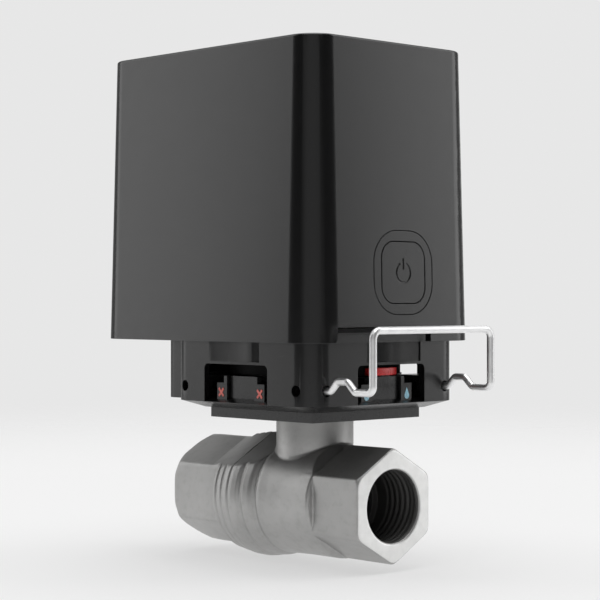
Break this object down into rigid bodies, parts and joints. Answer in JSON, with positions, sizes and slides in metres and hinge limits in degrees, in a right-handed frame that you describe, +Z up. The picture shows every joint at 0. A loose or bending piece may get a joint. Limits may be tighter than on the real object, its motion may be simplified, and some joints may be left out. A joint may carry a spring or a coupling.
{
  "type": "smart water valve",
  "caption": "Motor-driven quarter-turn ball valve with threaded ports, a boxy battery actuator with a power button, and a bent wire clip that locks the actuator on.",
  "frame": {"origin": "centre of the inlet port's mouth, on the flow axis", "axes": "+X along the flow towards the outlet port, +Z up along the valve stem and the actuator"},
  "size_m": [0.0988, 0.0608, 0.1347],
  "materials": {
    "plated_brass": "satin nickel plate on brass",
    "brass": "turned brass",
    "ball_chrome": "chrome plate on brass",
    "seat_ptfe": "white PTFE",
    "seal_rubber": "black rubber",
    "base_plastic": "black moulded plastic, satin",
    "mark_red": "printed red",
    "mark_blue": "printed light blue",
    "band_red": "red",
    "cover_plastic": "dark grey moulded plastic, satin",
    "button_plastic": "dark grey plastic",
    "clip_steel": "polished spring steel",
    "steel": "steel",
    "bronze": "sintered bronze",
    "gear_plastic": "natural acetal",
    "inner_plastic": "black plastic",
    "cell_wrap": "plain film wrap",
    "contact_metal": "plated spring brass",
    "board_green": "circuit board",
    "led_lens": "clear lens"
  },
  "bodies": {
    "housing": {"valve_body": "plated_brass", "end_adapter": "plated_brass", "adapter_seal": "seal_rubber", "seat_inlet": "seat_ptfe", "seat_outlet": "seat_ptfe", "thrust_washer": "seat_ptfe", "valve_mount_adapter": "base_plastic", "mount_nut": "brass", "closed_marks": "mark_red", "open_marks": "mark_blue", "drive_bushing": "bronze", "base_housing": "base_plastic", "cover": "cover_plastic", "cover_gasket": "seal_rubber", "cover_screws": "steel", "button_ring": "button_plastic", "idler_axle": "steel", "gearbox_plate": "inner_plastic", "gearbox_screws": "steel", "output_bushing": "bronze", "motor_gearbox": "bronze", "motor_can": "steel", "motor_screws": "steel", "limit_switch_open": "inner_plastic", "limit_switch_closed": "inner_plastic", "battery_holder": "inner_plastic", "battery_cell_1": "cell_wrap", "battery_cell_2": "cell_wrap", "battery_cell_3": "cell_wrap", "battery_cell_4": "cell_wrap", "battery_contacts_lower": "contact_metal", "battery_contacts_upper": "contact_metal", "battery_lid": "inner_plastic", "battery_lid_screw": "steel", "main_board": "board_green", "board_components": "inner_plastic", "radio_module": "steel", "status_led": "led_lens", "tact_switch": "inner_plastic"},
    "rotor": {"ball": "ball_chrome", "stem": "brass", "stem_orings": "seal_rubber", "indicator_drum": "base_plastic", "indicator_bands": "band_red", "drive_coupling": "brass", "drive_seal": "seal_rubber", "output_gear": "gear_plastic", "limit_cam": "gear_plastic"},
    "idler": {"idler_gear": "gear_plastic"},
    "motor_rotor": {"motor_pinion": "bronze", "motor_shaft": "steel"},
    "button": {"power_button": "button_plastic", "switch_plunger": "inner_plastic"},
    "clip": {"retaining_clip": "clip_steel"}
  },
  "joints": [
    {"name": "valve_turn", "type": "hinge", "parent": "housing", "child": "rotor", "pos_m": [0.043, 0, 0], "axis": [0, 0, 1], "range_deg": [-90, 0]},
    {"name": "idler_spin", "type": "hinge", "parent": "housing", "child": "idler", "pos_m": [0.019, 0.01, 0.045], "axis": [0, 0, 1], "range_deg": [-1, 301]},
    {"name": "motor_spin", "type": "hinge", "parent": "housing", "child": "motor_rotor", "pos_m": [0.00473, -0.00285, 0.05], "axis": [0, 0, 1], "range_deg": [-901, 1]},
    {"name": "button_press", "type": "slide", "parent": "housing", "child": "button", "axis": [-0.9997, 0, -0.0244], "range_m": [0, 0.0008], "stiffness_N_per_m": 400},
    {"name": "clip_pull", "type": "slide", "parent": "housing", "child": "clip", "axis": [1, 0, 0], "range_m": [0, 0.018]}
  ],
  "couplings": [
    {"joint": "idler_spin", "follows": "valve_turn", "ratio": -3.3333},
    {"joint": "motor_spin", "follows": "valve_turn", "ratio": 10}
  ]
}
